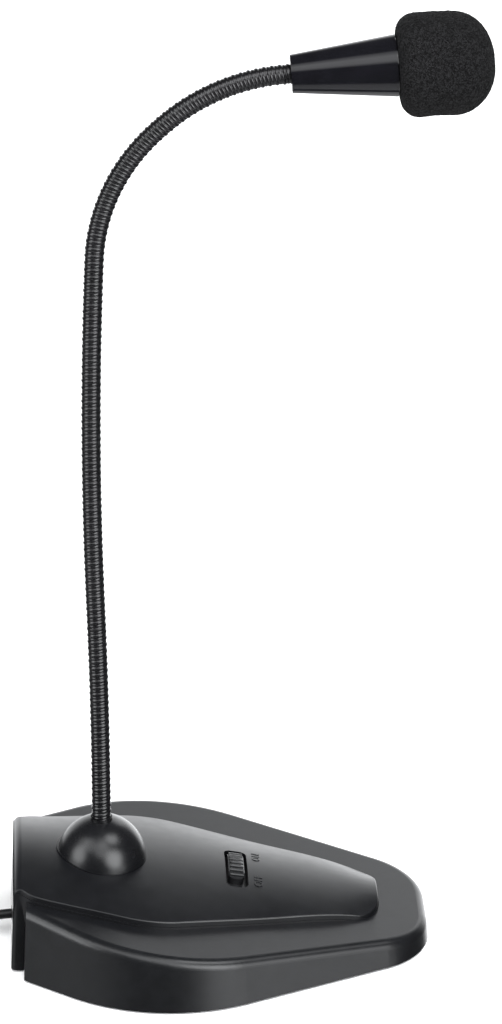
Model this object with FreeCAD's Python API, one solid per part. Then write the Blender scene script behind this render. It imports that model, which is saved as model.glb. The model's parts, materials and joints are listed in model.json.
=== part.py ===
import FreeCAD, Part
import math
import os

# A gooseneck podium microphone. The origin is on the floor, under the middle of the microphone.
# +X points forwards, to where the head points; +Z is up. All sizes are in millimetres, all angles in degrees.

V = FreeCAD.Vector

# Base housing
REAR_X = -69.2  # rear face of the housing, at its top
REAR_FOOT_X = -70.3  # and at its foot
FLANGE_REAR_X = -66.4  # rear edge of the flange, at its foot
FRONT_X = 57.7
WALL = 2.2
SHELL_BOTTOM = 0.6  # the feet hold the shell this far off the floor
FLANGE_SLOPE_START = -69.0  # the flange's top is a plane that falls forwards from here
FLANGE_REAR_TOP = 23.9
FLANGE_FALL = 0.1323  # mm of fall per mm forwards
DRAFT_PER_MM = 0.09  # how far the flange's wall leans in, per mm of height
REAR_DRAFT_LESS = 0.05  # the rear face leans in by this much less
FLANGE_CORNERS = [(FLANGE_REAR_X, 31.6), (-27.5, 60.1), (FRONT_X, 21.6)]
FLANGE_RADII = [0.0, 52.0, 23.0]
FLANGE_EDGE_RADIUS = 3.0
REAR_BLOCK_FOOT_HALF = 25.5
REAR_BLOCK_TOP_HALF = 23.1
REAR_BLOCK_TOP = 26.7

# Deck cover: its edge lies in one sloping plane, and its arch has a ridge that falls a little faster
DECK_CORNERS = [(REAR_X, 23.1), (-67.0, 23.1), (-63.5, 25.4), (-27.7, 34.05), (42.4, 12.75)]
DECK_RADII = [0.0, 3.0, 8.0, 32.0, 10.5]
ARCH_STATIONS = [(-76.0, 22.4), (-62.0, 25.8), (-45.0, 30.0), (-28.0, 32.9), (-10.0, 28.7), (10.0, 22.6)]
ARCH_STATIONS += [(30.0, 16.6), (50.0, 11.0)]  # distance forwards, and the deck's half width there
DECK_REAR_ROLL = 2.2
DECK_EDGE_RADIUS = 0.45
EDGE_HEIGHT = 17.0  # at the switch
EDGE_FALL = 0.1395  # mm of fall per mm forwards
RIDGE_HEIGHT = 20.6
RIDGE_FALL = 0.168
RIDGE_SAG = 0.0003  # the ridge falls away this many times the distance from the switch squared
COVER_THICK = 1.6
COVER_SHELF = 0.2  # the shell stands out this far below the cover's edge
FIT_GAP = 0.05

# Neck: a tube along straight and curved runs, each (length, heading at its end, from upright)
NECK_X = -42.3
NECK_FOOT_Z = 17.5
NECK_RUNS = [(20.5, 0.0), (73.3, -2.1), (110.0, 2.4), (42.0, 45.0), (7.0, 50.0), (36.0, 85.6), (13.0, 85.6)]
NECK_RADIUS = 3.0
NECK_BORE = 1.6
CUP_RADIUS = 3.15
LEAD_RADIUS = 0.8
LEAD_CUP_RADIUS = 0.9
FLARE_OFFSET = 0.8  # the bore opens as a cone from this far before each joint's centre
FIRST_JOINT = 35.5  # distance along the neck
JOINT_SPACING = 34.0
JOINT_COUNT = 8

# Dome and lower ferrule
DOME_CENTRE_Z = 25.0
DOME_RADIUS = 13.75
DOME_WALL = 2.0
FERRULE_RADIUS = 3.3
FERRULE_BORE = 3.03
FERRULE_TOP_Z = 39.3
THREAD_RADIUS = 4.9
DOME_RIM = 0.4  # height of the upright rim round the dome's foot
SEAT_RADIUS = 7.5
SEAT_TOP = 28.6  # the level seat of the ferrule's collar, on the sloping deck
NUT_SEAT = 22.7  # the level seat of the washer, under the roof

# Head
HEAD_GAP = 1.6  # bare neck end beyond the last curved run, before the head shell
HEAD_REAR_RADIUS = 5.5
HEAD_FRONT_RADIUS = 8.95
HEAD_CONE_LENGTH = 30.0
HEAD_NOSE_RADIUS = 7.9
HEAD_NOSE_END = 48.0
HEAD_BORE = 6.6
NECK_IN_HEAD = 11.4
FOAM_RADIUS = 14.95
FOAM_REAR = 30.4
FOAM_TIP = 57.8
FOAM_REAR_ROLL = 5.5
FOAM_NOSE_ROLL = 13.5

# Switch
SWITCH_X = -1.0
SLOT_LENGTH = 22.4
SLOT_WIDTH = 6.9
SLOT_CORNER = 2.3
CAP_LENGTH = 15.5
CAP_WIDTH = 4.9
CAP_REST_Y = 2.0
TRAVEL = 3.0  # of the cap, from ON to OFF
RIB_COUNT = 7
RIB_PITCH = 2.05
RIB_RADIUS = 0.6
SKIRT_HALF = 13.3  # half the length of the cap's hidden skirt, which closes the slot
BOARD_DEPTH = 9.5  # top of the circuit board below the deck's surface

# Cable
CABLE_RADIUS = 1.5
CABLE_Z = 5.9
CABLE_EXIT_X = -70.1
CABLE_ROUTE = [(CABLE_EXIT_X, 0.0, CABLE_Z), (-79.0, -1.0, 5.6), (-87.6, -4.0, 3.2), (-95.6, -7.8, 1.5)]
TAIL_ROUTE = [
    (-103.0, -9.0, 10.65),
    (-111.0, -9.2, 10.1),
    (-119.5, -7.6, 7.6),
    (-127.6, -2.6, 4.4),
    (-132.0, 5.4, 2.6),
    (-133.0, 13.9, 3.6),
]
COIL_CENTRE = (-103.0, 15.0)
COIL_OUTER = 25.5
COIL_INNER = 10.8
COIL_HEIGHT = 12.2
TIE_ANGLE = 35.0
TIE_WIDTH = 6.0
TIE_THICK = 0.7
PLUG_RADIUS = 3.6


def save(name, shape):
    """Writes one node's solids to its own file."""
    shape.exportStep("parts/" + name + ".step")


def fused(shapes):
    """One shape from several that touch or overlap."""
    whole = shapes[0]
    for shape in shapes[1:]:
        whole = whole.fuse(shape)
    return whole.removeSplitter()


def block(x, y, z):
    """A box from three (low, high) pairs."""
    return Part.makeBox(x[1] - x[0], y[1] - y[0], z[1] - z[0], V(x[0], y[0], z[0]))


def upright(x, y, z, radius):
    """An upright cylinder; z is a (low, high) pair."""
    return Part.makeCylinder(radius, z[1] - z[0], V(x, y, z[0]))


def turned(profile):
    """A solid turned about the X axis, from (along, radius) points."""
    points = [V(along, 0, radius) for along, radius in profile]
    face = Part.Face(Part.makePolygon(points + points[:1]))
    return face.revolve(V(0, 0, 0), V(1, 0, 0), 360)


def ring(start, end, outer, inner):
    """A turned tube about the X axis."""
    return turned([(start, inner), (start, outer), (end, outer), (end, inner)])


def placed(shape, placement):
    """A copy of the shape, moved from a local frame into the microphone's."""
    moved = shape.copy()
    moved.Placement = placement.multiply(moved.Placement)
    return moved


def both_sides(corners, radii):
    """Closes a half outline by its mirror image, anticlockwise from above."""
    near = [(x, -y) for x, y in corners]
    return near + corners[::-1], radii + radii[::-1]


def inset(corners, distance):
    """The polygon with each side moved inwards by the distance; its corners run anticlockwise."""
    moved = []
    for i, (x, y) in enumerate(corners):
        before = corners[i - 1]
        after = corners[(i + 1) % len(corners)]
        into = V(x - before[0], y - before[1], 0).normalize()
        out = V(after[0] - x, after[1] - y, 0).normalize()
        normal_in = V(-into.y, into.x, 0)
        normal_out = V(-out.y, out.x, 0)
        reach = distance / (1 + normal_in.dot(normal_out))
        moved.append((x + (normal_in.x + normal_out.x) * reach, y + (normal_in.y + normal_out.y) * reach))
    return moved


def outline(corners, radii, z):
    """A closed level wire round the polygon, with each corner rounded by a tangent arc."""
    points = [V(x, y, z) for x, y in corners]
    arcs = []
    for i, here in enumerate(points):
        back = (points[i - 1] - here).normalize()
        on = (points[(i + 1) % len(points)] - here).normalize()
        half = back.getAngle(on) / 2
        inward = (back + on).normalize()
        reach = radii[i] / math.tan(half)
        middle = here + inward * (radii[i] / math.sin(half) - radii[i])
        arcs.append((here + back * reach, middle, here + on * reach))
    edges = []
    for i, (start, middle, end) in enumerate(arcs):
        if radii[i] > 0:
            edges.append(Part.Arc(start, middle, end).toShape())
        edges.append(Part.LineSegment(end, arcs[(i + 1) % len(arcs)][0]).toShape())
    return Part.Wire(edges)


def prism(corners, radii, low, high):
    """A straight-sided solid with a rounded outline."""
    return Part.Face(outline(corners, radii, low)).extrude(V(0, 0, high - low))


def deck_height(x):
    """The height of the deck's ridge."""
    return RIDGE_HEIGHT - RIDGE_FALL * x - RIDGE_SAG * x**2


def under_crown(drop):
    """The solid below the deck's arched top surface, or below that surface lowered by the drop."""
    floor = -5.0
    sections = []
    for x, half_width in ARCH_STATIONS:
        arch_rise = deck_height(x) - (EDGE_HEIGHT - EDGE_FALL * x)
        half = half_width + 3.0
        top = V(x, 0, deck_height(x) - drop)
        near = V(x, -half, top.z - arch_rise * (half / half_width) ** 2)
        far = V(x, half, near.z)
        feet = Part.makePolygon([far, V(x, half, floor), V(x, -half, floor), near])
        sections.append(Part.Wire([Part.Arc(near, top, far).toShape()] + feet.Edges))
    return Part.makeLoft(sections, True, False)


def flange_top(x):
    """The height of the flange's sloping top."""
    return FLANGE_REAR_TOP - FLANGE_FALL * (x - FLANGE_SLOPE_START)


def under_flange(drop):
    """The solid below the flange's sloping top plane, lowered by the drop."""
    low_x, high_x, half_width = REAR_X - 5, FRONT_X + 5, 70.0
    side = [
        V(low_x, -half_width, -5),
        V(high_x, -half_width, -5),
        V(high_x, -half_width, flange_top(high_x) - drop),
        V(low_x, -half_width, flange_top(low_x) - drop),
    ]
    return Part.Face(Part.makePolygon(side + side[:1])).extrude(V(0, 2 * half_width, 0))


def flange_body(side_gap, bottom, drop):
    """The flange's drafted solid, moved in from the outer wall by side_gap."""
    (rear_x, rear_y), (wide_x, wide_y) = FLANGE_CORNERS[:2]
    top = 26.0
    wires = []
    for z in (bottom, top):
        back = REAR_DRAFT_LESS * (z - SHELL_BOTTOM)
        rear_corner = (rear_x - back, rear_y - back * (wide_y - rear_y) / (wide_x - rear_x))
        corners, radii = both_sides([rear_corner] + FLANGE_CORNERS[1:], FLANGE_RADII)
        moved_in = side_gap + DRAFT_PER_MM * (z - SHELL_BOTTOM)
        radii = [max(r - moved_in, 0.4) if r else 0.0 for r in radii]
        wires.append(outline(inset(corners, moved_in), radii, z))
    return Part.makeLoft(wires, True, True).common(under_flange(drop))


def rear_block(side_gap, bottom, top):
    """The drafted block behind the flange."""
    wires = []
    for z in (bottom, top):
        share = (z - SHELL_BOTTOM) / (REAR_BLOCK_TOP - SHELL_BOTTOM)
        half = REAR_BLOCK_FOOT_HALF + (REAR_BLOCK_TOP_HALF - REAR_BLOCK_FOOT_HALF) * share - side_gap
        rear = REAR_FOOT_X + (REAR_X - REAR_FOOT_X) * share + side_gap
        front = FLANGE_REAR_X + 5
        corners = [(rear, -half), (front, -half), (front, half), (rear, half)]
        wires.append(outline(corners, [1.5, 0.4, 0.4, 1.5], z))
    return Part.makeLoft(wires, True, True)


def deck_block(side_gap, bottom, drop):
    """The deck's outline raised from the bottom to its arched top, lowered by the drop."""
    corners, radii = both_sides(DECK_CORNERS, DECK_RADII)
    radii = [max(r - side_gap, 0.5) if r else 0.0 for r in radii]
    return prism(inset(corners, side_gap), radii, bottom, 40.0).common(under_crown(drop))


# Frames: the deck's surface at the switch, and the head's axis
DECK_FRAME = FreeCAD.Placement(
    V(SWITCH_X, 0, deck_height(SWITCH_X)), FreeCAD.Rotation(V(0, 1, 0), math.degrees(math.atan(RIDGE_FALL)))
)
CURVED_LENGTH = sum(length for length, end in NECK_RUNS[:-1])
HEAD_START = CURVED_LENGTH + HEAD_GAP  # distance along the neck
NECK_END = HEAD_START + NECK_IN_HEAD
JOINTS = [FIRST_JOINT + JOINT_SPACING * i for i in range(JOINT_COUNT)]

HOUSING_SCREWS = [(-56.0, -17.0), (-56.0, 17.0), (-24.0, -43.0), (-24.0, 43.0), (42.0, 0.0)]
BALLAST_SCREWS = [(-8.0, -22.0), (-8.0, 22.0), (26.0, 0.0)]
BALLAST_CORNERS = [(-24.0, 34.0), (34.0, 22.0)]
BOARD_SCREWS = [(-17.0, -13.0), (-17.0, 13.0), (8.0, -13.0), (8.0, 13.0)]
CLAMP_SCREWS = [(-61.0, -5.0), (-61.0, 5.0)]
FEET = [(-44.0, -33.0), (-44.0, 33.0), (40.0, -15.0), (40.0, 15.0)]
CLAMP_TOP = 9.3
FOOT_RADIUS = 5.0
PLATE_LOW, PLATE_HIGH = 1.2, 2.7
BALLAST_HIGH = 6.1
SCREW_HEAD_LOW = 0.1
SCREW_HEAD_RADIUS = 2.6
PILOT_RADIUS = 1.3
PILOT_TOP = 8.3
ROOF_THICK = 1.9
ROOF_DEPTH = COVER_THICK + FIT_GAP + ROOF_THICK  # the roof's underside below the deck's surface
BOARD_THICK = 1.6
BOARD_U = (-20.0, 11.0)  # along the deck, from the switch
BOARD_HALF = 17.0
BOARD_HOLE = 1.05
LEAD_ROUTE = [
    (NECK_X, 0.0, 17.4),
    (NECK_X, 0.0, 11.0),
    (-31.0, 0.0, 11.0),
    (-24.0, 0.0, 17.9),
    (-18.0, 0.0, 17.3),
    (-18.0, 0.0, 14.2),
]
INNER_ROUTE = [
    (CABLE_EXIT_X + 0.25, 0.0, CABLE_Z),
    (-52.0, 0.0, CABLE_Z),
    (-43.0, -6.0, CABLE_Z),
    (-36.0, -6.0, 8.0),
    (-31.0, -6.0, 15.0),
    (-22.9, -6.0, 17.05),
]


def neck_at(distance):
    """The point at a distance along the neck's middle line, and the heading there from upright, in radians."""
    point = V(NECK_X, 0, NECK_FOOT_Z)
    heading = 0.0
    left = distance
    for length, end in NECK_RUNS:
        step = min(left, length)
        turn = (math.radians(end) - heading) * step / length
        chord = step * (math.sin(turn / 2) / (turn / 2) if turn else 1)
        middle = heading + turn / 2
        point += V(math.sin(middle), 0, math.cos(middle)) * chord
        heading += turn
        left -= step
    return point + V(math.sin(heading), 0, math.cos(heading)) * left, heading


def neck_wire(start, end):
    """The neck's middle line between two distances, as tangent arcs and straight runs."""
    stops = [start]
    reached = 0.0
    for length, _ in NECK_RUNS:
        reached += length
        if start + 0.2 < reached < end - 0.2:
            stops.append(reached)
    stops.append(end)
    edges = []
    for low, high in zip(stops, stops[1:]):
        first, heading = neck_at(low)
        middle = neck_at((low + high) / 2)[0]
        last, end_heading = neck_at(high)
        if abs(end_heading - heading) < 1e-6:
            edges.append(Part.LineSegment(first, last).toShape())
        else:
            edges.append(Part.Arc(first, middle, last).toShape())
    return Part.Wire(edges)


def swept(wire, start, direction, radius):
    """A round solid along a wire that leaves the start in the given direction."""
    circle = Part.Wire(Part.makeCircle(radius, start, direction))
    return wire.makePipeShell([circle], True, False)


def neck_rod(start, end, radius):
    """A round solid along the neck between two distances."""
    point, heading = neck_at(start)
    return swept(neck_wire(start, end), point, V(math.sin(heading), 0, math.cos(heading)), radius)


def ball(distance, radius):
    """A sphere centred on the neck's middle line."""
    return Part.makeSphere(radius, neck_at(distance)[0])


def neck_stretch(index):
    """One rigid stretch of the gooseneck: a cup at its foot, a bored ball at its top."""
    start = JOINTS[index - 1] if index else 0.0
    last = index == JOINT_COUNT
    end = NECK_END if last else JOINTS[index]
    rod = neck_rod(start, end if last else end - 1.0, NECK_RADIUS)
    bore = neck_rod(start - 0.5 if index else start, end if last else end + 3.5, NECK_BORE)
    if not last:
        centre, heading = neck_at(end)
        along = V(math.sin(heading), 0, math.cos(heading))
        flare = Part.makeCone(0, 4, 4, centre - along * FLARE_OFFSET, along)
        rod = rod.fuse(ball(end, NECK_RADIUS)).cut(flare)
    if index:
        rod = rod.cut(ball(start, CUP_RADIUS))
    return rod.cut(bore)


def lead_stretch(index):
    """The microphone lead's stretch inside the same part of the neck."""
    start = JOINTS[index - 1] if index else 0.0
    if index == JOINT_COUNT:
        rod = neck_rod(start, HEAD_START + 37.45, LEAD_RADIUS)
    else:
        rod = neck_rod(start, JOINTS[index], LEAD_RADIUS).fuse(ball(JOINTS[index], LEAD_RADIUS))
    if index:
        rod = rod.cut(ball(start, LEAD_CUP_RADIUS))
    return rod


def route_wire(points):
    """Straight runs joined by tangent arcs, each as wide as the shorter of its two runs allows."""
    points = [V(*p) for p in points]
    edges = []
    radii = []
    here = points[0]
    for before, corner, after in zip(points, points[1:], points[2:]):
        back = (before - corner).normalize()
        on = (after - corner).normalize()
        half = back.getAngle(on) / 2
        reach = 0.45 * min((before - corner).Length, (after - corner).Length)
        radius = reach * math.tan(half)
        middle = corner + (back + on).normalize() * (radius / math.sin(half) - radius)
        edges.append(Part.LineSegment(here, corner + back * reach).toShape())
        edges.append(Part.Arc(corner + back * reach, middle, corner + on * reach).toShape())
        radii.append(round(radius, 1))
        here = corner + on * reach
    edges.append(Part.LineSegment(here, points[-1]).toShape())
    return Part.Wire(edges), radii


def tube_along(points, radius, label):
    """A round cable along the points; prints its bending radii."""
    wire, radii = route_wire(points)
    print(label, "bending radii", radii, "length", round(wire.Length, 1))
    return swept(wire, V(*points[0]), V(*points[1]) - V(*points[0]), radius)


def hexagon(width, low, high, hole):
    """A hexagon nut standing along Z, with a round hole."""
    corner = width / 2 / math.cos(math.pi / 6)
    points = [
        V(corner * math.cos(math.pi / 3 * i), corner * math.sin(math.pi / 3 * i), low) for i in range(6)
    ]
    nut = Part.Face(Part.makePolygon(points + points[:1])).extrude(V(0, 0, high - low))
    return nut.cut(upright(0, 0, (low - 1, high + 1), hole))


def is_flange_edge(edge):
    """True for the edges between the flange's wall and its sloping top, except at the rear."""
    for vertex in edge.Vertexes:
        if abs(vertex.Z - flange_top(vertex.X)) > 0.02:
            return False
    return edge.BoundBox.XMax > FLANGE_REAR_X + 3


def is_rear_deck_edge(edge):
    """True for the arched edge along the top of the deck's rear face."""
    box = edge.BoundBox
    return box.XMax < REAR_X + 0.01 and box.YLength > 20 and box.ZMin > 20


def is_side_deck_edge(edge):
    """True for the edges along the top of the deck's sides and tip, outside the rolled rear edge."""
    if edge.BoundBox.XMax < 0 and edge.BoundBox.YLength > 20:
        return False
    for vertex in edge.Vertexes:
        if vertex.Z < EDGE_HEIGHT - EDGE_FALL * vertex.X - 1.0:
            return False
    return True


def switch_slot(length, width, radius, low, high):
    """An upright block with rounded corners, long across the deck."""
    x, y = width / 2, length / 2
    return prism([(-x, -y), (x, -y), (x, y), (-x, y)], [radius] * 4, low, high)


def make_deck_cover():
    cover = deck_block(0, 0, 0)
    cover = cover.makeFillet(DECK_REAR_ROLL, [e for e in cover.Edges if is_rear_deck_edge(e)])
    cover = cover.makeFillet(DECK_EDGE_RADIUS, [e for e in cover.Edges if is_side_deck_edge(e)])
    cover = cover.cut(under_crown(COVER_THICK))
    cover = cover.fuse(upright(NECK_X, 0, (20, SEAT_TOP), SEAT_RADIUS).cut(under_crown(COVER_THICK)))
    cover = cover.cut(upright(NECK_X, 0, (15, 40), THREAD_RADIUS + 0.1))
    return cover.cut(placed(switch_slot(SLOT_LENGTH, SLOT_WIDTH, SLOT_CORNER, -6, 4), DECK_FRAME))


def make_shell_body():
    """The base shell's closed outer form."""
    flange = flange_body(0, SHELL_BOTTOM, 0)
    flange = flange.makeFillet(FLANGE_EDGE_RADIUS, [e for e in flange.Edges if is_flange_edge(e)])
    rear = rear_block(0, SHELL_BOTTOM, 34.0).common(under_crown(COVER_THICK + FIT_GAP))
    return flange.fuse(rear).fuse(deck_block(-COVER_SHELF, 3.0, COVER_THICK + FIT_GAP))


def make_base_shell():
    shell = make_shell_body()
    bottom = SHELL_BOTTOM - 1
    shell = shell.cut(flange_body(WALL, bottom, WALL))
    shell = shell.cut(rear_block(WALL, bottom, 34.0).common(under_crown(ROOF_DEPTH)))
    shell = shell.cut(deck_block(WALL, bottom, ROOF_DEPTH))
    neck_seat = upright(NECK_X, 0, (NUT_SEAT, 30), SEAT_RADIUS + 1.2)
    shell = shell.fuse(neck_seat.common(under_crown(COVER_THICK + FIT_GAP)))
    shell = shell.cut(upright(NECK_X, 0, (15, NUT_SEAT), SEAT_RADIUS + 0.6))
    post_room = flange_body(0.8, SHELL_BOTTOM, 0.8).fuse(deck_block(0.8, 1.0, COVER_THICK + 0.5))
    for x, y in HOUSING_SCREWS:
        shell = shell.fuse(upright(x, y, (PLATE_HIGH + 0.05, 30), 3.4).common(post_room))
        shell = shell.cut(upright(x, y, (PLATE_HIGH - 1, PILOT_TOP), PILOT_RADIUS))
    for u, y in BOARD_SCREWS:
        shell = shell.fuse(placed(upright(u, y, (-BOARD_DEPTH, 0.3 - ROOF_DEPTH), 2.2), DECK_FRAME))
        shell = shell.cut(placed(upright(u, y, (-BOARD_DEPTH - 1, 4 - BOARD_DEPTH), 0.95), DECK_FRAME))
    shell = shell.cut(upright(NECK_X, 0, (12, 40), THREAD_RADIUS + 0.1))
    shell = shell.cut(placed(block((-4.6, 4.6), (-15.7, 15.7), (-9, 5)), DECK_FRAME))
    return shell.cut(Part.makeCylinder(2.4, 10, V(CABLE_EXIT_X - 5, 0, CABLE_Z), V(1, 0, 0)))


def make_bottom_plate():
    corners, radii = both_sides(FLANGE_CORNERS, FLANGE_RADII)
    moved_in = WALL + 0.3 + DRAFT_PER_MM * (PLATE_HIGH - SHELL_BOTTOM)
    radii = [max(r - moved_in, 0.0) for r in radii]
    plate = prism(inset(corners, moved_in), radii, PLATE_LOW, PLATE_HIGH)
    half = REAR_BLOCK_FOOT_HALF - WALL - 0.7
    plate = plate.fuse(block((REAR_FOOT_X + WALL + 0.5, -60), (-half, half), (PLATE_LOW, PLATE_HIGH)))
    for x, y in HOUSING_SCREWS + BALLAST_SCREWS:
        plate = plate.cut(upright(x, y, (0, 4), 1.5))
    for x, y in CLAMP_SCREWS:
        plate = plate.cut(upright(x, y, (0, 4), 1.25))
    return plate.removeSplitter()


def make_ballast_plate():
    corners, radii = both_sides(BALLAST_CORNERS, [4.0, 4.0])
    plate = prism(corners, radii, PLATE_HIGH + FIT_GAP, BALLAST_HIGH)
    for x, y in BALLAST_SCREWS:
        plate = plate.cut(upright(x, y, (0, 10), 1.5))
    return plate


def screw(x, y, tip, shank):
    """A pan-head screw driven up from under the bottom plate."""
    head = upright(x, y, (SCREW_HEAD_LOW, PLATE_LOW - 0.01), SCREW_HEAD_RADIUS)
    drive = block((x - 1.6, x + 1.6), (y - 0.3, y + 0.3), (SCREW_HEAD_LOW - 1, SCREW_HEAD_LOW + 0.6))
    cross = block((x - 0.3, x + 0.3), (y - 1.6, y + 1.6), (SCREW_HEAD_LOW - 1, SCREW_HEAD_LOW + 0.6))
    return head.fuse(upright(x, y, (PLATE_LOW - 0.01, tip), shank)).cut(drive).cut(cross)


def make_board_screw(u, y):
    """A screw that holds the circuit board up to its post."""
    low = -BOARD_DEPTH - BOARD_THICK - 0.04
    head = upright(u, y, (low - 1.3, low), 2.0)
    return placed(head.fuse(upright(u, y, (low, -BOARD_DEPTH + 3.5), 0.9)), DECK_FRAME)


def make_clamp_screw(x, y):
    """A screw that holds the cable clamp down on the bottom plate."""
    low = CLAMP_TOP + 0.05
    return upright(x, y, (low, low + 1.25), 2.1).fuse(upright(x, y, (PLATE_LOW + 0.1, low), 1.2))


def make_rubber_foot(x, y):
    return Part.makeCone(FOOT_RADIUS - 0.4, FOOT_RADIUS, PLATE_LOW - 0.01, V(x, y, 0))


def make_neck_dome():
    centre = V(NECK_X, 0, DOME_CENTRE_Z)
    dome = Part.makeSphere(DOME_RADIUS, centre).cut(Part.makeSphere(DOME_RADIUS - DOME_WALL, centre))
    rim = upright(NECK_X, 0, (20, 35), DOME_RADIUS)
    rim = rim.cut(upright(NECK_X, 0, (15, 40), DOME_RADIUS - DOME_WALL)).common(under_crown(-DOME_RIM))
    dome = dome.fuse(rim).cut(under_crown(-0.05))
    return dome.cut(upright(NECK_X, 0, (20, 45), FERRULE_RADIUS + 0.07))


def make_neck_ferrule_bottom():
    tube = upright(NECK_X, 0, (17, FERRULE_TOP_Z), FERRULE_RADIUS)
    tube = tube.fuse(upright(NECK_X, 0, (SEAT_TOP + 0.02, 30.0), 7.0))
    tube = tube.fuse(upright(NECK_X, 0, (17, SEAT_TOP + 0.02), THREAD_RADIUS))
    return tube.cut(upright(NECK_X, 0, (10, 45), FERRULE_BORE))


def make_neck_washer():
    washer = upright(NECK_X, 0, (NUT_SEAT - 0.65, NUT_SEAT - 0.05), 7.5)
    return washer.cut(upright(NECK_X, 0, (20, 25), THREAD_RADIUS + 0.1))


def make_neck_nut():
    nut = hexagon(14, NUT_SEAT - 3.75, NUT_SEAT - 0.75, THREAD_RADIUS + 0.02)
    nut.translate(V(NECK_X, 0, 0))
    return nut


def make_cable_bush():
    face, inner = CABLE_EXIT_X, CABLE_EXIT_X + WALL
    profile = [
        (face + 0.3, CABLE_RADIUS + 0.02),
        (face, CABLE_RADIUS + 0.3),
        (face, 2.35),
        (inner + 0.2, 2.35),
        (inner + 0.2, 3.0),
        (inner + 1.2, 2.5),
        (inner + 1.2, CABLE_RADIUS + 0.02),
    ]
    bush = turned(profile)
    bush.translate(V(0, 0, CABLE_Z))
    return bush


def make_cable_clamp():
    saddle = block((-64, -58), (-7, 7), (PLATE_HIGH + FIT_GAP, CLAMP_TOP))
    top_edges = [e for e in saddle.Edges if e.BoundBox.ZMin > CLAMP_TOP - 0.1 and e.BoundBox.YLength < 1]
    saddle = saddle.makeFillet(1.5, top_edges)
    saddle = saddle.cut(Part.makeCylinder(CABLE_RADIUS + 0.02, 20, V(-66, 0, CABLE_Z), V(1, 0, 0)))
    for x, y in CLAMP_SCREWS:
        saddle = saddle.cut(upright(x, y, (0, 10), 1.25))
    return saddle


def on_board(u, y, height):
    """A box standing on the circuit board, from (low, high) pairs along and across it."""
    return placed(block(u, y, (-BOARD_DEPTH, -BOARD_DEPTH + height)), DECK_FRAME)


def make_circuit_board():
    low = -BOARD_DEPTH - BOARD_THICK - 0.02
    board = block(BOARD_U, (-BOARD_HALF, BOARD_HALF), (low, -BOARD_DEPTH - 0.02))
    for u, y in BOARD_SCREWS:
        board = board.cut(upright(u, y, (-15, -5), BOARD_HOLE))
    return placed(board, DECK_FRAME)


def make_board_components():
    """An electrolytic capacitor, a small amplifier chip and four resistors."""
    pieces = [placed(upright(-9, 9.5, (-BOARD_DEPTH, -4.8), 2.5), DECK_FRAME)]
    pieces.append(on_board((-10.5, -6.6), (-11.5, -6.5), 1.5))
    for y in (-14.5, -11.5, 11.0, 14.0):
        pieces.append(on_board((0.5, 3.7), (y, y + 1.6), 0.8))
    return Part.makeCompound(pieces)


def make_slide_switch_body():
    middle = CAP_REST_Y - TRAVEL / 2
    body = block((-3.5, 3.5), (middle - 6.5, middle + 6.5), (-BOARD_DEPTH, -4.2))
    body = body.cut(block((-2.1, 2.1), (middle - 4.1, middle + 4.1), (-6.5, -4.8)))
    return placed(body.cut(block((-1.1, 1.1), (middle - 2.9, middle + 2.9), (-5.0, -4.0))), DECK_FRAME)


def make_switch_actuator():
    y = CAP_REST_Y
    foot = block((-2.0, 2.0), (y - 2.5, y + 2.5), (-6.45, -4.85))
    return placed(foot.fuse(block((-1.0, 1.0), (y - 1.25, y + 1.25), (-4.85, -2.3))), DECK_FRAME)


def make_switch_cap():
    long_arch, cross_arch = 24.0, 6.0
    top, rib_height, skirt_low, skirt_high = 0.3, 0.75, -3.8, -3.0

    def barrel(height):
        """The solid below a surface that is arched both ways."""
        lengthwise = Part.makeCylinder(long_arch, 20, V(-10, 0, height - long_arch), V(1, 0, 0))
        return lengthwise.common(Part.makeCylinder(cross_arch, 24, V(0, -12, height - cross_arch), V(0, 1, 0)))

    cap = switch_slot(CAP_LENGTH, CAP_WIDTH, 1.9, skirt_low, 3).common(barrel(top))
    rib_half = CAP_WIDTH / 2 - 0.35
    for i in range(RIB_COUNT):
        y = RIB_PITCH * (i - (RIB_COUNT - 1) / 2)
        crest = top + rib_height - y**2 / (2 * long_arch)
        rib = Part.makeCylinder(RIB_RADIUS, 2 * rib_half, V(-rib_half, y, crest - RIB_RADIUS), V(1, 0, 0))
        rib = rib.fuse(block((-rib_half, rib_half), (y - RIB_RADIUS, y + RIB_RADIUS), (-1.5, crest - RIB_RADIUS)))
        cap = cap.fuse(rib.common(barrel(top + rib_height)))
    cap = cap.fuse(block((-4.0, 4.0), (-SKIRT_HALF, SKIRT_HALF), (skirt_low, skirt_high)))
    cap = cap.cut(block((-1.05, 1.05), (-1.3, 1.3), (skirt_low - 1, -2.25)))
    cap.translate(V(0, CAP_REST_Y, 0))
    return placed(cap, DECK_FRAME)


def head_frame():
    """The head's own frame: its X axis runs forwards along the barrel, from its rear edge."""
    point, heading = neck_at(HEAD_START)
    return FreeCAD.Placement(point, FreeCAD.Rotation(V(0, 1, 0), math.degrees(heading) - 90))


def make_head_shell():
    profile = [
        (0, HEAD_REAR_RADIUS),
        (HEAD_CONE_LENGTH, HEAD_FRONT_RADIUS),
        (HEAD_CONE_LENGTH, HEAD_NOSE_RADIUS),
        (HEAD_NOSE_END, HEAD_NOSE_RADIUS),
        (HEAD_NOSE_END, HEAD_BORE),
        (26, HEAD_BORE),
        (15.5, 5.95),
        (12, 5.9),
        (12, 4.25),
        (0.9, 4.25),
        (0.9, 4.9),
        (0, 4.9),
    ]
    return turned(profile)


def make_neck_ferrule_top():
    profile = [(0.05, FERRULE_BORE), (0.05, 4.85), (0.85, 4.85), (0.85, 4.2), (15.0, 4.2), (15.0, FERRULE_BORE)]
    return turned(profile)


def make_ferrule_nut():
    nut = hexagon(10, 12.05, 14.6, 4.22)
    nut.rotate(V(0, 0, 0), V(0, 1, 0), 90)
    return nut


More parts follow.
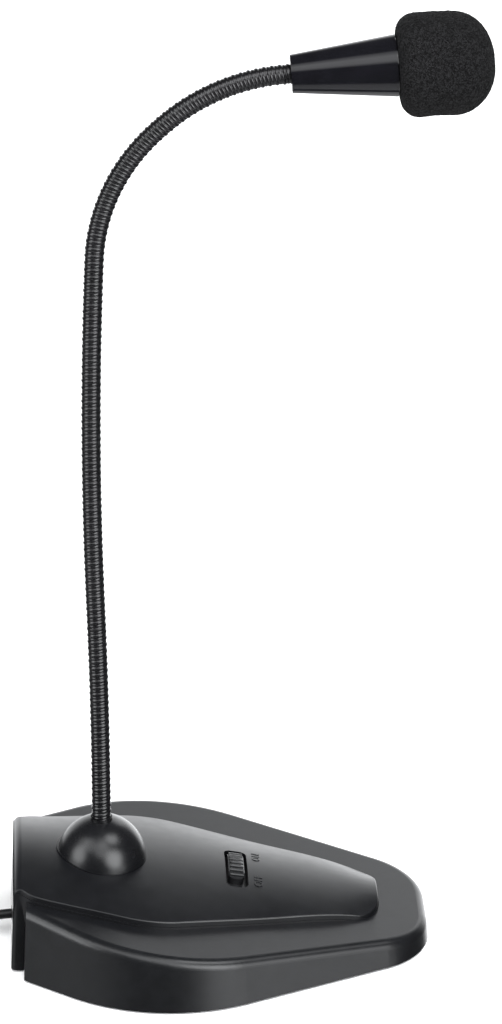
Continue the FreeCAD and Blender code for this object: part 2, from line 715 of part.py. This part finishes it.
def make_front_grille():
    grille = ring(46.8, 47.6, HEAD_BORE - 0.05, 0.5)
    for count, radius in ((6, 2.0), (12, 4.0)):
        for i in range(count):
            angle = 2 * math.pi * i / count
            at = V(46, radius * math.cos(angle), radius * math.sin(angle))
            grille = grille.cut(Part.makeCylinder(0.6, 3, at, V(1, 0, 0)))
    return grille


def make_windscreen():
    foam = Part.makeCylinder(FOAM_RADIUS, FOAM_TIP - FOAM_REAR, V(FOAM_REAR, 0, 0), V(1, 0, 0))
    foam = foam.makeFillet(FOAM_REAR_ROLL, [e for e in foam.Edges if e.BoundBox.XMax < FOAM_REAR + 0.1])
    foam = foam.makeFillet(FOAM_NOSE_ROLL, [e for e in foam.Edges if e.BoundBox.XMin > FOAM_TIP - 0.1])
    return foam.cut(turned([(20, 0), (20, 8.0), (HEAD_NOSE_END + 0.5, 8.0), (HEAD_NOSE_END + 0.5, 0)]))


def cylinder_along(start, end, outer, inner):
    """A plain turned tube, or a solid disc when the inner radius is 0, about the X axis."""
    if inner:
        return ring(start, end, outer, inner)
    return turned([(start, 0), (start, outer), (end, outer), (end, 0)])


def at_coil(shape):
    """Moves a shape from the coil's middle into place."""
    shape.translate(V(COIL_CENTRE[0], COIL_CENTRE[1], 0))
    return shape


def at_tie(shape):
    """Turns a shape that lies along +X round to the tie's place on the coil."""
    shape.rotate(V(0, 0, 0), V(0, 0, 1), TIE_ANGLE)
    return at_coil(shape)


def make_cable_coil():
    coil = upright(0, 0, (0, COIL_HEIGHT), COIL_OUTER).cut(upright(0, 0, (-1, 20), COIL_INNER))
    coil = coil.makeFillet(1.4, [e for e in coil.Edges if e.Closed and len(e.Vertexes) == 1])
    notch = block((9, 27), (-TIE_WIDTH / 2 - 0.05, TIE_WIDTH / 2 + 0.05), (-1, TIE_THICK + 0.02))
    return at_coil(coil).cut(at_tie(notch))


def make_coil_tie():
    half = TIE_WIDTH / 2
    low, high = COIL_INNER - 0.5, COIL_OUTER + 0.05
    band = block((low - TIE_THICK, high + TIE_THICK), (-half, half), (0, COIL_HEIGHT + 0.05 + TIE_THICK))
    band = band.makeFillet(0.6, [e for e in band.Edges if e.BoundBox.YLength > TIE_WIDTH - 0.1])
    return at_tie(band.cut(block((low, high), (-half - 1, half + 1), (TIE_THICK, COIL_HEIGHT + 0.05))))


def at_plug(shape):
    """Moves a shape turned about X to the plug's place, pointing along +Y."""
    shape.rotate(V(0, 0, 0), V(0, 0, 1), 90)
    shape.translate(V(*TAIL_ROUTE[-1]))
    return shape


def make_plug_grip():
    profile = [
        (0.3, 0),
        (0.3, CABLE_RADIUS + 0.3),
        (9, 2.4),
        (9.6, PLUG_RADIUS - 0.3),
        (11, PLUG_RADIUS),
        (23, PLUG_RADIUS),
        (24, PLUG_RADIUS - 0.7),
        (24, 1.52),
        (21.5, 1.52),
        (21.5, 0),
    ]
    return at_plug(turned(profile))


def make_plug_tip():
    profile = [(21.6, 0), (21.6, 0.6), (33.9, 0.6), (33.9, 1.75), (35.3, 1.75)]
    profile += [(36.0, 1.3), (36.6, 1.72), (38.0, 0.6), (38.0, 0)]
    return at_plug(turned(profile))


def make_nodes():
    """Every node's name and shape."""
    nodes = {
        "base_shell": make_base_shell(),
        "deck_cover": make_deck_cover(),
        "bottom_plate": make_bottom_plate(),
        "ballast_plate": make_ballast_plate(),
        "ballast_screws": Part.makeCompound([screw(x, y, BALLAST_HIGH - 0.1, 1.45) for x, y in BALLAST_SCREWS]),
        "housing_screws": Part.makeCompound([screw(x, y, PILOT_TOP - 0.4, 1.25) for x, y in HOUSING_SCREWS]),
        "rubber_feet": Part.makeCompound([make_rubber_foot(x, y) for x, y in FEET]),
        "neck_dome": make_neck_dome(),
        "neck_ferrule_bottom": make_neck_ferrule_bottom(),
        "neck_washer": make_neck_washer(),
        "neck_nut": make_neck_nut(),
        "base_lead": tube_along(LEAD_ROUTE, LEAD_RADIUS, "microphone lead"),
        "cable_inner": tube_along(INNER_ROUTE, CABLE_RADIUS, "cable in the base"),
        "board_connector": on_board((-20.0, -15.0), (-10.0, -2.0), 4.5),
        "cable_clamp": make_cable_clamp(),
        "clamp_screws": Part.makeCompound([make_clamp_screw(x, y) for x, y in CLAMP_SCREWS]),
        "circuit_board": make_circuit_board(),
        "board_screws": Part.makeCompound([make_board_screw(u, y) for u, y in BOARD_SCREWS]),
        "board_components": make_board_components(),
        "slide_switch_body": make_slide_switch_body(),
        "switch_actuator": make_switch_actuator(),
        "switch_cap": make_switch_cap(),
        "cable_bush": make_cable_bush(),
    }
    for i in range(JOINT_COUNT + 1):
        nodes["neck_seg_%d" % (i + 1)] = neck_stretch(i)
        nodes["neck_lead_%d" % (i + 1)] = lead_stretch(i)
    head = {
        "head_shell": make_head_shell(),
        "neck_ferrule_top": make_neck_ferrule_top(),
        "ferrule_nut": make_ferrule_nut(),
        "capsule_board": cylinder_along(37.5, 38.5, 4.6, 0),
        "mic_capsule": cylinder_along(38.55, 45.7, 4.85, 0),
        "capsule_boot": ring(38.0, 46.5, HEAD_BORE - 0.05, 4.9),
        "capsule_felt": cylinder_along(45.75, 46.7, 4.8, 0),
        "front_grille": make_front_grille(),
        "windscreen": make_windscreen(),
    }
    for name, shape in head.items():
        nodes[name] = placed(shape, head_frame())
    coil = make_cable_coil()
    nodes["cable_run"] = tube_along(CABLE_ROUTE, CABLE_RADIUS, "cable run").cut(coil)
    nodes["cable_coil"] = coil
    nodes["cable_tail"] = tube_along(TAIL_ROUTE, CABLE_RADIUS, "cable tail").cut(coil)
    nodes["coil_tie"] = make_coil_tie()
    nodes["plug_grip"] = make_plug_grip()
    nodes["plug_sleeve"] = at_plug(
        turned([(21.6, 0.95), (21.6, 1.5), (24.05, 1.5), (24.05, 1.75), (33.0, 1.75), (33.0, 0.95)])
    )
    nodes["plug_insulator"] = at_plug(
        turned([(21.6, 0.62), (21.6, 0.93), (33.05, 0.93), (33.05, 1.75), (33.85, 1.75), (33.85, 0.62)])
    )
    nodes["plug_tip"] = make_plug_tip()
    return nodes


if __name__ == "__main__":
    os.makedirs("parts", exist_ok=True)
    for node, solid in make_nodes().items():
        save(node, solid)
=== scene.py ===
import json
import math

import bpy
from mathutils import Matrix, Vector, noise


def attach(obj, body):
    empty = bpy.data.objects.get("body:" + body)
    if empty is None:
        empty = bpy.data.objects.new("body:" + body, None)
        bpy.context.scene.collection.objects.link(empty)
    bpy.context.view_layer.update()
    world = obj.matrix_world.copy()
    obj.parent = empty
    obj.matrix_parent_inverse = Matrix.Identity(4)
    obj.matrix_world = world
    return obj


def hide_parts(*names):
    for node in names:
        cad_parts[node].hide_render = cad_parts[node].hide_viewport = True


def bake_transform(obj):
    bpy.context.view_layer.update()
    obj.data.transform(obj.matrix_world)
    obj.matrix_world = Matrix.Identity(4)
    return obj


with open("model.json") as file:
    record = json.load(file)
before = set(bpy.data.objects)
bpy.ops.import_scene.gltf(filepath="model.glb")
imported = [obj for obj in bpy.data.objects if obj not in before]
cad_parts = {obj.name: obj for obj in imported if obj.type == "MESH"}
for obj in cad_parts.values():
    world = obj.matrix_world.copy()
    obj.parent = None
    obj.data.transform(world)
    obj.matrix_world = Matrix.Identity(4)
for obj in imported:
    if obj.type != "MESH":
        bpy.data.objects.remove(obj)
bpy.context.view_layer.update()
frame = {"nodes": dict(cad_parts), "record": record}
nodes = frame["nodes"]
MM = 0.001

# The numbers up here are in mm and degrees, unless a comment says otherwise.

CAMERA_PLACE = (-60.14, -1216.46, 701.15)
CAMERA_AHEAD = (0.0467246, 0.90722568, -0.41804113)
CAMERA_ROLL = -0.51
CAMERA_LENS = 159.4

# The gooseneck's middle line: its foot, and runs of a length with the heading from upright that
# the run ends with
NECK_FOOT = Vector((-42.3, 0.0, 17.5))
NECK_RUNS = [
    (20.5, 0.0),
    (73.3, -2.1),
    (110.0, 2.4),
    (42.0, 45.0),
    (7.0, 50.0),
    (36.0, 85.6),
    (13.0, 85.6),
]

# Distances along that line: the hinges, where the bending starts and stops, the head and the end
JOINTS = [35.5 + 34.0 * i for i in range(8)]
BENDS_START = 24.0
BENDS_STOP = 287.8
HEAD_START = 290.4
NECK_END = 301.7

# The winding: the pitch, the part of it on each side that the main wire takes up, and each wire's
# radius and the distance of its crest from the middle line
PITCH = 2.17
MAIN_SHARE = 0.3
MAIN_WIRE = (0.69, 3.0)
FILLER_WIRE = (0.5, 2.84)
ROWS_PER_PITCH = 14
NECK_COLUMNS = 36

# The cable's route: out of the base, round the coil, and on to the plug
CABLE_RADIUS = 1.5
CABLE_ROUTE = [(-70.1, 0.0, 5.9), (-79.0, -1.0, 5.6), (-87.6, -4.0, 3.2), (-95.6, -7.8, 1.5)]
TAIL_ROUTE = [
    (-103.0, -9.0, 10.65),
    (-111.0, -9.2, 10.1),
    (-119.5, -7.6, 7.6),
    (-127.6, -2.6, 4.4),
    (-132.0, 5.4, 2.6),
    (-133.0, 13.9, 3.6),
]

# The coil: its first point's direction, and its outer and inner radius
COIL_CENTRE = (-103.0, 15.0)
COIL_START = -72.0
COIL_TURNS = 15.05
COIL_POINTS_PER_TURN = 14
COIL_LAYERS = 4
COIL_RADII = (24.0, 12.3)
LAYER_HEIGHT = 3.05
CLIMB_START = 0.94  # the share of a layer after which the cable climbs to the next one
CLIMB_SHARE = 0.06

# The foam cap, along the barrel from where the head starts
FOAM_REAR = 30.4
FOAM_TIP = 57.8
FOAM_RADIUS = 14.95
FOAM_ROLL = 5.5  # the rounding of its rear
FOAM_NOSE = 12.3  # the rounding of its front
FOAM_COLUMNS = 240
SOCKET_END = 48.5
SOCKET_RADIUS = 7.98
FOAM_LUMPS = [(0.16, 0.25), (1.9, 0.16), (3.7, 0.1)]  # noises: waves per mm, and height
FOAM_REAR_TURN = 8.0  # how far from the rear the lumps still push backwards as well as outwards
FOAM_SINK = 0.12
FOAM_SAG = 0.25
FOAM_LEAN = 0.018  # further sag per mm forwards

# Noise seldom leaves this range, which is stretched to the range that is wanted
NOISE_RANGE = (0.3, 0.7)

# Soft round lights: direction, outer and inner angle from the middle, and strength. The comments
# say where each one is as the camera sees it
GLOWS = [
    ((-0.88, -0.36, 0.32), 25, 6, 4.8),  # left
    ((0.51, -0.78, 0.33), 28, 8, 6.6),  # front right
    ((-0.50, -0.38, 0.78), 22, 8, 2.2),  # high, left
    ((-0.70, -0.14, 0.70), 18, 6, 1.6),  # high, further left
    ((0.03, -0.38, 0.92), 17, 5, 1.6),  # overhead
    ((0.02, -0.69, 0.72), 25, 9, 2.5),  # high, in front
    ((0.40, -0.16, 0.90), 19, 5, 5.2),  # overhead, right
    ((0.40, 0.76, 0.51), 13, 4, 1.5),  # behind, right
    ((0.62, -0.74, -0.25), 27, 8, 2.2),  # below the table's level, front right
    ((-0.87, -0.33, -0.30), 40, 15, 0.4),  # below the table's level, left
]


def add_camera():
    """The camera that takes the whole microphone from its side (-Y), well above the table."""
    ahead = Vector(CAMERA_AHEAD).normalized()
    level = ahead.cross(Vector((0, 0, 1))).normalized()
    across = Matrix.Rotation(math.radians(CAMERA_ROLL), 3, ahead) @ level
    above = across.cross(ahead)
    camera = bpy.data.objects.new("camera", bpy.data.cameras.new("camera"))
    turn = Matrix((across, above, -ahead)).transposed()
    camera.matrix_world = Matrix.Translation(Vector(CAMERA_PLACE) * MM) @ turn.to_4x4()
    camera.data.sensor_fit = "VERTICAL"
    camera.data.sensor_height = 36.0
    camera.data.lens = CAMERA_LENS
    camera.data.clip_end = 50.0
    bpy.context.scene.collection.objects.link(camera)
    bpy.context.scene.camera = camera


def coil_points():
    """The coil between its first and last points: layer on layer, inwards and outwards by turns."""
    outer, inner = COIL_RADII
    count = int(COIL_TURNS * COIL_POINTS_PER_TURN)
    points = []
    for i in range(1, count):
        share = i / count
        layer = min(int(share * COIL_LAYERS), COIL_LAYERS - 1)
        part = share * COIL_LAYERS - layer
        inwards = part if layer % 2 == 0 else 1 - part
        radius = outer + (inner - outer) * inwards
        climb = max(0.0, (part - CLIMB_START) / CLIMB_SHARE) if layer < COIL_LAYERS - 1 else 0.0
        z = CABLE_RADIUS + LAYER_HEIGHT * (layer + climb * climb * (3 - 2 * climb))
        angle = math.radians(COIL_START) - share * COIL_TURNS * 2 * math.pi
        x = COIL_CENTRE[0] + radius * math.cos(angle)
        y = COIL_CENTRE[1] + radius * math.sin(angle)
        points.append((x, y, z))
    return points


def add_cable(finish):
    """The cable as one smooth spline, from the base to the plug."""
    route = CABLE_ROUTE + coil_points() + TAIL_ROUTE
    curve = bpy.data.curves.new("cable", "CURVE")
    curve.dimensions = "3D"
    curve.bevel_depth = CABLE_RADIUS * MM
    curve.bevel_resolution = 5
    curve.resolution_u = 6
    curve.use_fill_caps = True
    spline = curve.splines.new("NURBS")
    spline.points.add(len(route) - 1)
    for point, place in zip(spline.points, route):
        point.co = (*(Vector(place) * MM), 1.0)
    spline.order_u = 3
    spline.use_endpoint_u = True
    curve.materials.append(finish)
    cable = bpy.data.objects.new("cable", curve)
    bpy.context.scene.collection.objects.link(cable)
    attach(cable, "base")
    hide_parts("cable_run", "cable_coil", "cable_tail")


class Finish:
    """A node material around one Principled shader, in object space and in metres."""

    def __init__(self, name, colour, roughness, **inputs):
        self.material = bpy.data.materials.new(name)
        self.material.use_nodes = True
        self.tree = self.material.node_tree
        self.shader = self.tree.nodes["Principled BSDF"]
        self.shader.inputs["Base Color"].default_value = (*colour, 1.0)
        self.shader.inputs["Roughness"].default_value = roughness
        for key, value in inputs.items():
            self.shader.inputs[key.replace("_", " ")].default_value = value
        self.place = self.tree.nodes.new("ShaderNodeTexCoord").outputs["Object"]

    def add(self, kind, **sockets):
        """Adds a node; a socket's value is a plain value or another node's output."""
        node = self.tree.nodes.new(kind)
        for key, value in sockets.items():
            socket = node.inputs[key.replace("_", " ")]
            if isinstance(value, bpy.types.NodeSocket):
                self.tree.links.new(value, socket)
            else:
                socket.default_value = value
        return node

    def stretch(self, value, low, high, first, last):
        """Goes from the first number to the last one while the value goes from low to high."""
        ranges = {"From_Min": low, "From_Max": high, "To_Min": first, "To_Max": last}
        return self.add("ShaderNodeMapRange", Value=value, **ranges).outputs["Result"]

    def spread(self, low, high, scale, detail):
        """A noise's value stretched between two numbers; the scale is in features per metre."""
        cloud = self.add("ShaderNodeTexNoise", Vector=self.place, Scale=scale, Detail=detail)
        return self.stretch(cloud.outputs["Fac"], *NOISE_RANGE, low, high)

    def tint(self, factor, low, high):
        """Varies the base colour between two colours, by a factor from 0 to 1."""
        mix = self.add("ShaderNodeMix", Factor=factor)
        mix.data_type = "RGBA"
        mix.inputs[6].default_value = (*low, 1.0)
        mix.inputs[7].default_value = (*high, 1.0)
        self.tree.links.new(mix.outputs[2], self.shader.inputs["Base Color"])
        return self

    def shade(self, low, high, scale):
        """Varies the base colour between two colours, by a noise."""
        return self.tint(self.spread(0.0, 1.0, scale, 3.0), low, high)

    def wear(self, low, high, scale):
        """Varies the roughness."""
        self.tree.links.new(self.spread(low, high, scale, 4.0), self.shader.inputs["Roughness"])
        return self

    def grain(self, height, depth):
        """A bump from a height output, so many metres deep."""
        bump = self.add("ShaderNodeBump", Height=height, Distance=depth)
        self.tree.links.new(bump.outputs["Normal"], self.shader.inputs["Normal"])
        return self


def moulded(name, colour, roughness, scale, depth):
    """Moulded plastic: a fine even texture, and slightly uneven colour and gloss."""
    low = tuple(c * 0.85 for c in colour)
    high = tuple(c * 1.2 for c in colour)
    finish = Finish(name, colour, roughness)
    finish.shade(low, high, 180.0)
    finish.wear(roughness * 0.93, roughness * 1.08, 260.0)
    texture = finish.add("ShaderNodeTexNoise", Vector=finish.place, Scale=scale, Detail=2.0)
    return finish.grain(texture.outputs["Fac"], depth)


def make_steel():
    """Steel brushed along X."""
    steel = Finish("steel", (0.5, 0.51, 0.52), 0.35, Metallic=1.0)
    steel.shade((0.42, 0.43, 0.44), (0.56, 0.57, 0.58), 300.0)
    brushed = steel.add("ShaderNodeMapping", Vector=steel.place)
    brushed.inputs["Scale"].default_value = (40.0, 1500.0, 1500.0)
    lines = steel.add("ShaderNodeTexNoise", Vector=brushed.outputs["Vector"], Scale=1.0, Detail=2.0)
    return steel.wear(0.28, 0.45, 900.0).grain(lines.outputs["Fac"], 0.000006)


def make_plating():
    """The plug's bright plating."""
    plating = Finish("plating", (0.78, 0.77, 0.73), 0.16, Metallic=1.0)
    return plating.shade((0.7, 0.69, 0.65), (0.82, 0.81, 0.77), 400.0).wear(0.12, 0.24, 700.0)


def make_foam():
    """Open-celled foam: each cell has its own shade of black, and is a small hollow."""
    foam = Finish("foam", (0.01, 0.01, 0.0105), 0.95, Specular_IOR_Level=0.15)
    cells = foam.add("ShaderNodeTexVoronoi", Vector=foam.place, Scale=2700.0)
    share = foam.stretch(cells.outputs["Color"], 0.3, 0.8, 0.0, 1.0)
    foam.tint(share, (0.0035, 0.0035, 0.0037), (0.0185, 0.0185, 0.0195))
    return foam.grain(cells.outputs["Distance"], 0.0006)


def make_finishes():
    """Every material, by the record's slot name."""
    # Name, colour, roughness, and the texture's features per metre and depth in metres
    made = {
        "housing_black": moulded("housing", (0.0048, 0.0051, 0.006), 0.3, 5200.0, 0.000005),
        "dome_black": moulded("dome", (0.005, 0.0052, 0.006), 0.26, 3000.0, 0.000002),
        "neck_black": moulded("neck_wire", (0.006, 0.006, 0.0066), 0.16, 4200.0, 0.000002),
        "head_black": moulded("head_paint", (0.0045, 0.0045, 0.006), 0.07, 1500.0, 0.000001),
        "switch_black": moulded("switch", (0.009, 0.0092, 0.01), 0.3, 5000.0, 0.000004),
        "rubber_black": moulded("rubber", (0.013, 0.013, 0.013), 0.55, 3500.0, 0.00001),
        "cable_black": moulded("cable_sheath", (0.007, 0.007, 0.0075), 0.4, 2500.0, 0.000008),
        "lead_grey": moulded("lead_sheath", (0.2, 0.2, 0.21), 0.4, 3000.0, 0.000005),
        "board_green": moulded("board", (0.012, 0.1, 0.03), 0.35, 1500.0, 0.000004),
        "component_black": moulded("components", (0.02, 0.02, 0.022), 0.45, 3000.0, 0.000005),
        "connector_white": moulded("connector", (0.6, 0.58, 0.52), 0.4, 2500.0, 0.000005),
        "felt_grey": moulded("felt", (0.05, 0.05, 0.05), 0.9, 2600.0, 0.0001),
        "steel": make_steel(),
        "plating": make_plating(),
        "foam_black": make_foam(),
    }
    return {slot: finish.material for slot, finish in made.items()}


def finish_nodes(finishes):
    """Gives each shown CAD node its slot's material."""
    slots = {part["node"]: part["material_slot"] for part in frame["record"]["subparts"]}
    for name, node in nodes.items():
        node.data.materials.clear()
        node.data.materials.append(finishes[slots[name]])


def new_piece(name, points, faces, material, smooth=True):
    """A mesh object from points in metres."""
    mesh = bpy.data.meshes.new(name)
    mesh.from_pydata(points, [], faces)
    mesh.materials.append(material)
    mesh.polygons.foreach_set("use_smooth", [smooth] * len(mesh.polygons))
    mesh.update()
    piece = bpy.data.objects.new(name, mesh)
    bpy.context.scene.collection.objects.link(piece)
    return piece


def grid_faces(rows, columns):
    """Quads over a tube of rows of points, with a fan round each end's middle point.

    The two middle points come after the rows.
    """
    faces = []
    for i in range(rows - 1):
        near, far = i * columns, (i + 1) * columns
        for j in range(columns):
            k = (j + 1) % columns
            faces.append((near + j, near + k, far + k, far + j))
    first, last = rows * columns, rows * columns + 1
    end = (rows - 1) * columns
    for j in range(columns):
        k = (j + 1) % columns
        faces.append((first, k, j))
        faces.append((last, end + j, end + k))
    return faces


def neck_at(distance):
    """The point at a distance along the neck's middle line, and its heading in radians."""
    point = NECK_FOOT.copy()
    heading = 0.0
    left = distance
    for length, end in NECK_RUNS:
        step = min(left, length)
        turn = (math.radians(end) - heading) * step / length
        chord = step * (math.sin(turn / 2) / (turn / 2) if turn else 1.0)
        middle = heading + turn / 2
        point += Vector((math.sin(middle), 0, math.cos(middle))) * chord
        heading += turn
        left -= step
    return point + Vector((math.sin(heading), 0, math.cos(heading))) * left, heading


def wound_radius(phase):
    """The gooseneck's outer radius: a round wire, and a thinner one in the groove between turns."""
    from_main = abs((phase + 0.5) % 1.0 - 0.5)
    if from_main < MAIN_SHARE:
        wire, crest = MAIN_WIRE
        away = from_main * PITCH
    else:
        wire, crest = FILLER_WIRE
        away = (0.5 - from_main) * PITCH
    return crest - wire + math.sqrt(max(wire**2 - away**2, 0.0))


def add_wound_tube(name, start, end, material):
    """One stretch of the wound gooseneck, between two distances along it."""
    rows = max(2, round((end - start) / PITCH * ROWS_PER_PITCH)) + 1
    points = []
    for i in range(rows):
        along = start + (end - start) * i / (rows - 1)
        centre, heading = neck_at(along)
        across = Vector((math.cos(heading), 0, -math.sin(heading)))
        for j in range(NECK_COLUMNS):
            angle = 2 * math.pi * j / NECK_COLUMNS
            radius = wound_radius(along / PITCH - angle / (2 * math.pi))
            outwards = across * math.cos(angle) + Vector((0, math.sin(angle), 0))
            points.append((centre + radius * outwards) * MM)
    points += [neck_at(start)[0] * MM, neck_at(end)[0] * MM]
    piece = new_piece(name, points, grid_faces(rows, NECK_COLUMNS), material)
    return piece


def add_gooseneck(material):
    """The gooseneck: a wound tube in stretches, each curved along the middle line in place of one
    of the neck's segments; the foot goes with the base and the top with the head.
    """
    ends = [BENDS_START] + [(a + b) / 2 for a, b in zip(JOINTS, JOINTS[1:])] + [BENDS_STOP]
    foot = add_wound_tube("neck_foot", 0.0, ends[0], material)
    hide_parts("neck_seg_1")
    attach(foot, "base")
    for i, (start, end) in enumerate(zip(ends, ends[1:])):
        piece = add_wound_tube("neck_bend_%d" % (i + 1), start, end, material)
        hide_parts("neck_seg_%d" % (i + 2))
        neck_at(start)[0] * MM
        neck_at(end)[0] * MM
        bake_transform(piece)
    top = add_wound_tube("neck_top", ends[-1], NECK_END, material)
    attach(top, "head")


def head_matrix():
    """The head's frame: X forwards along the barrel, in metres."""
    centre, heading = neck_at(HEAD_START)
    turn = Matrix.Rotation(heading - math.pi / 2, 4, "Y")
    return Matrix.Translation(centre * MM) @ turn


def windscreen_outline():
    """The foam cap's outside, from rear to tip: pairs of a distance along it and a radius."""
    outline = []
    for i in range(25):
        angle = math.pi / 2 * i / 24
        along = FOAM_REAR + FOAM_ROLL - FOAM_ROLL * math.cos(angle)
        outline.append((along, FOAM_RADIUS - FOAM_ROLL + FOAM_ROLL * math.sin(angle)))
    for i in range(1, 28):
        straight = FOAM_TIP - FOAM_NOSE - FOAM_REAR - FOAM_ROLL
        outline.append((FOAM_REAR + FOAM_ROLL + straight * i / 28, FOAM_RADIUS))
    for i in range(64):
        angle = math.pi / 2 * i / 64
        along = FOAM_TIP - FOAM_NOSE + FOAM_NOSE * math.sin(angle)
        outline.append((along, FOAM_RADIUS - FOAM_NOSE + FOAM_NOSE * math.cos(angle)))
    for i in range(5):
        outline.append((FOAM_TIP, (FOAM_RADIUS - FOAM_NOSE) * (1 - (i + 0.5) / 5)))
    return outline


def roughened(spot):
    """A point of the foam's surface, moved in or out by the lumps and down by the sag."""
    behind = min(spot.x - (FOAM_REAR + FOAM_REAR_TURN), 0)
    ahead = max(spot.x - (FOAM_TIP - FOAM_NOSE), 0)
    away = Vector((behind + ahead, spot.y, spot.z)).normalized()
    lump = sum(noise.noise(spot * scale) * height for scale, height in FOAM_LUMPS)
    sag = FOAM_SAG + FOAM_LEAN * (spot.x - FOAM_REAR)
    return spot + away * (lump - FOAM_SINK) - Vector((0, 0, sag))


def add_windscreen(material):
    """The foam cap: a rounded barrel with a smooth socket for the head's nose."""
    socket = [
        (SOCKET_END, SOCKET_RADIUS),
        (FOAM_REAR + 0.6, SOCKET_RADIUS),
        (FOAM_REAR + 0.2, 8.1),
        (FOAM_REAR + 0.05, 8.4),
    ]
    profile = socket + windscreen_outline()
    points = []
    for row, (along, out) in enumerate(profile):
        for j in range(FOAM_COLUMNS):
            angle = 2 * math.pi * j / FOAM_COLUMNS
            spot = Vector((along, out * math.cos(angle), out * math.sin(angle)))
            points.append(spot if row < len(socket) else roughened(spot))
    points += [Vector((SOCKET_END, 0, 0)), Vector((FOAM_TIP, 0, 0))]
    place = head_matrix() @ Matrix.Scale(MM, 4)
    faces = grid_faces(len(profile), FOAM_COLUMNS)
    foam = new_piece("windscreen_foam", [place @ p for p in points], faces, material)
    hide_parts("windscreen")
    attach(foam, "windscreen")


def add_word(text, x, y, material):
    """A raised word on the deck, read from the front of the microphone (+X)."""
    cover = nodes["deck_cover"]
    to_cover = cover.matrix_world.inverted()
    overhead = Vector((x * MM, y * MM, 0.1))
    spot, normal = cover.ray_cast(to_cover @ overhead, Vector((0, 0, -1)))[1:3]
    ahead = Vector((0, 1, 0))
    ahead = (ahead - normal * ahead.dot(normal)).normalized()
    turn = Matrix((ahead, normal.cross(ahead), normal)).transposed().to_4x4()
    curve = bpy.data.curves.new("word_" + text, "FONT")
    curve.body = text
    curve.size = 3.5 * MM
    curve.extrude = 0.12 * MM
    curve.bevel_depth = 0.03 * MM
    curve.align_x = "CENTER"
    curve.align_y = "CENTER"
    letters = bpy.data.objects.new("word_" + text, curve)
    just_above = cover.matrix_world @ spot + normal * 0.00002
    letters.matrix_world = Matrix.Translation(just_above) @ turn
    bpy.context.scene.collection.objects.link(letters)
    curve.materials.append(material)
    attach(letters, "base")


class Surroundings:
    """The studio round the microphone, painted by direction: how bright each way is."""

    def __init__(self, name, colour):
        self.world = bpy.data.worlds.new(name)
        self.world.use_nodes = True
        self.tree = self.world.node_tree
        self.background = self.tree.nodes["Background"]
        self.background.inputs["Color"].default_value = (*colour, 1.0)
        place = self.tree.nodes.new("ShaderNodeTexCoord").outputs["Generated"]
        unit = self.tree.nodes.new("ShaderNodeVectorMath")
        unit.operation = "NORMALIZE"
        self.tree.links.new(place, unit.inputs[0])
        self.way = unit.outputs["Vector"]

    def along(self, direction):
        """How far each way points in a direction, from -1 to 1."""
        dot = self.tree.nodes.new("ShaderNodeVectorMath")
        dot.operation = "DOT_PRODUCT"
        self.tree.links.new(self.way, dot.inputs[0])
        dot.inputs[1].default_value = Vector(direction).normalized()
        return dot.outputs["Value"]

    def between(self, value, low, high, first, last):
        """Goes smoothly from the first number to the last one while the value goes up."""
        step = self.tree.nodes.new("ShaderNodeMapRange")
        step.interpolation_type = "SMOOTHSTEP"
        self.tree.links.new(value, step.inputs["Value"])
        ranges = {"From Min": low, "From Max": high, "To Min": first, "To Max": last}
        for key, number in ranges.items():
            step.inputs[key].default_value = number
        return step.outputs["Result"]

    def joined(self, operation, values):
        """The sum or the product of several values."""
        whole = values[0]
        for value in values[1:]:
            node = self.tree.nodes.new("ShaderNodeMath")
            node.operation = operation
            self.tree.links.new(whole, node.inputs[0])
            self.tree.links.new(value, node.inputs[1])
            whole = node.outputs[0]
        return whole

    def glow(self, direction, outer, inner, strength):
        """A soft round light, which starts at its outer angle and is full at its inner one."""
        edge, full = math.cos(math.radians(outer)), math.cos(math.radians(inner))
        return self.between(self.along(direction), edge, full, 0.0, strength)

    def finish(self, values):
        """Makes the world as bright as the sum of the values, and puts it in the scene."""
        self.tree.links.new(self.joined("ADD", values), self.background.inputs["Strength"])
        bpy.context.scene.world = self.world


def add_table():
    """A pale table, which reflections don't show: the surroundings stand in for it there."""
    side = 6.0
    corners = [(-side, -side, 0), (side, -side, 0), (side, side, 0), (-side, side, 0)]
    paper = Finish("paper", (0.93, 0.93, 0.93), 0.9, Specular_IOR_Level=0.1)
    paper.shade((0.92, 0.92, 0.92), (0.94, 0.94, 0.94), 30.0)
    floor = new_piece("floor", corners, [(0, 1, 2, 3)], paper.material, smooth=False)
    floor.visible_glossy = False


def add_surroundings():
    """A bright backdrop beyond the table that fades into a dark ceiling, and soft lights."""
    room = Surroundings("studio", (0.97, 0.985, 1.0))
    ahead, across, high = (0, 1, 0), (1, 0, 0), (0, 0, 1)
    # The backdrop is there only ahead; it ends above, dims upwards and brightens to the right
    backdrop = [
        room.between(room.along(ahead), 0.6, 0.87, 0.0, 1.0),
        room.between(room.along(high), 0.36, 0.58, 1.0, 0.06),
        room.between(room.along(high), 0.0, 0.42, 1.9, 1.05),
        room.between(room.along(across), -0.1, 0.35, 0.9, 1.6),
    ]
    # The table as seen in reflections, straight below, and a faint light everywhere else
    table = room.between(room.along(high), -0.86, -0.7, 0.75, 0.06)
    glows = [room.glow(*glow) for glow in GLOWS]
    room.finish([room.joined("MULTIPLY", backdrop), table] + glows)


def add_sun():
    """A broad light from straight above, which reflections don't show."""
    sun = bpy.data.lights.new("sun", "SUN")
    sun.energy = 3.0
    sun.angle = math.radians(70)
    overhead = bpy.data.objects.new("sun", sun)
    overhead.visible_glossy = False
    bpy.context.scene.collection.objects.link(overhead)


add_camera()
finishes = make_finishes()
add_cable(finishes["cable_black"])
finish_nodes(finishes)
add_gooseneck(finishes["neck_black"])
add_windscreen(finishes["foam_black"])
add_word("ON", 5.4, 8.6, finishes["housing_black"])
add_word("OFF", 5.6, -6.6, finishes["housing_black"])
add_table()
add_surroundings()
add_sun()
bpy.context.scene.view_settings.view_transform = "Standard"
